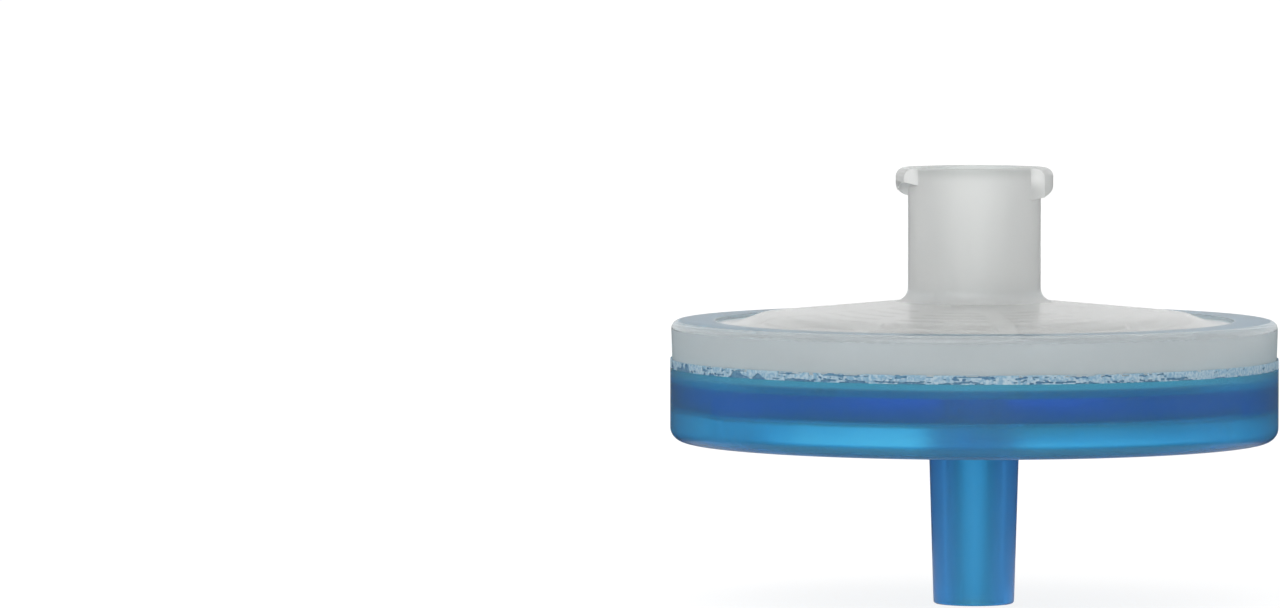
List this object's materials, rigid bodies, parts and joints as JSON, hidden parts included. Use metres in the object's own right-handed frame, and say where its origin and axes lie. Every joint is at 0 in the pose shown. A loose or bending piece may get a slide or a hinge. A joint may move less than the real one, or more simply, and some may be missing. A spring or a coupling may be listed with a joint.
{
  "type": "syringe filter",
  "caption": "Round disc filter for a syringe: translucent inlet half with a Luer lock socket, membrane, and blue outlet half with a Luer slip spigot.",
  "frame": {"origin": "centre of the outlet spigot's tip, on the axis", "axes": "+Z along the axis from outlet to inlet, +X through the middle of one lug"},
  "size_m": [0.03, 0.03, 0.0215],
  "materials": {
    "natural_polypropylene": "moulded, translucent natural",
    "filter_membrane": "fine porous, matt white",
    "blue_polypropylene": "moulded, translucent blue"
  },
  "bodies": {
    "root": {"inlet_hub": "natural_polypropylene", "inlet_housing": "natural_polypropylene", "membrane": "filter_membrane", "outlet_housing": "blue_polypropylene"}
  },
  "joints": []
}
